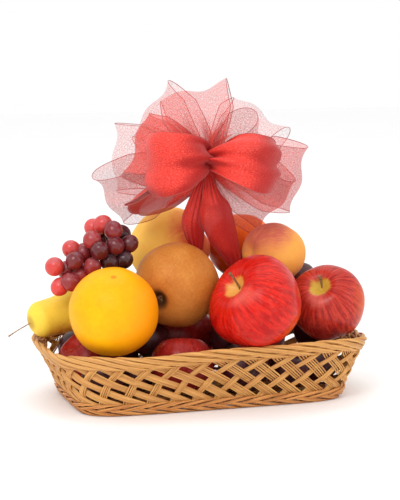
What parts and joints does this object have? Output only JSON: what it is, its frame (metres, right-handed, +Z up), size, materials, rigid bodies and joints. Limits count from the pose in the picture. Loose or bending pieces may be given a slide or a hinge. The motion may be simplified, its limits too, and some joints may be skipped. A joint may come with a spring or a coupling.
{
  "type": "fruit gift basket",
  "caption": "Oblong open-woven wicker basket heaped with whole fruit and a bunch of grapes, under a large gathered ribbon bow held up on a wooden pick.",
  "frame": {"origin": "on the floor under the centre of the whole object's box, at the height of the foot border's underside", "axes": "+Z up, +X along the basket's long sides towards the rounder end of the heap, +Y towards the back; the front long side faces -Y"},
  "size_m": [0.33, 0.2112, 0.2916],
  "materials": {
    "wicker": "satin",
    "orange_skin": "satin",
    "russet_skin": "satin",
    "apple_skin": "gloss",
    "peach_skin": "matt",
    "plum_skin": "satin",
    "pear_skin": "satin",
    "grape_skin": "gloss",
    "ribbon": "sheer",
    "pick_wood": "matt"
  },
  "bodies": {
    "root": {"basket_floor": "wicker", "basket_foot": "wicker", "basket_wall": "wicker", "basket_rim": "wicker", "orange_front": "orange_skin", "orange_back": "orange_skin", "russet_pear": "russet_skin", "apple_front": "apple_skin", "apple_right": "apple_skin", "apple_low_left": "apple_skin", "apple_low_front": "apple_skin", "apple_low_centre": "apple_skin", "apple_low_back": "apple_skin", "peach_right": "peach_skin", "peach_back": "peach_skin", "plum_right": "plum_skin", "plum_high": "plum_skin", "plum_back_right": "plum_skin", "plum_back_high": "plum_skin", "plum_back_middle": "plum_skin", "plum_back_left": "plum_skin", "plum_low_left": "plum_skin", "plum_low_front": "plum_skin", "plum_low_middle": "plum_skin", "plum_low_right": "plum_skin", "plum_low_end": "plum_skin", "plum_low_back": "plum_skin", "plum_low_corner": "plum_skin", "plum_dark_left": "plum_skin", "plum_dark_right": "plum_skin", "plum_middle": "plum_skin", "yellow_pear": "pear_skin", "grapes": "grape_skin", "bow": "ribbon", "bow_pick": "pick_wood"}
  },
  "joints": []
}
